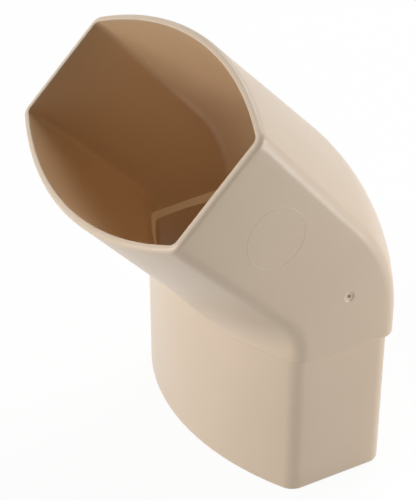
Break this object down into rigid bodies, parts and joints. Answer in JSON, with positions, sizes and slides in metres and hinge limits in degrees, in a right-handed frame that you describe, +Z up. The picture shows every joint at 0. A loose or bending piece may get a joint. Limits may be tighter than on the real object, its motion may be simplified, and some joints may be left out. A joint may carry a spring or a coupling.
{
  "type": "downpipe elbow",
  "caption": "Moulded plastic rainwater elbow with a bowed barrel section: an open spigot below, a plain bend and a flared socket leaning to one side.",
  "frame": {"origin": "centre of the spigot's open end, on its end face", "axes": "+Z up the spigot into the bend; the socket leans towards -X; the straight ends of the section face -Y and +Y"},
  "size_m": [0.0956, 0.096, 0.1294],
  "materials": {
    "sand_plastic": "satin moulded sand-coloured plastic"
  },
  "bodies": {
    "root": {"elbow": "sand_plastic"}
  },
  "joints": []
}
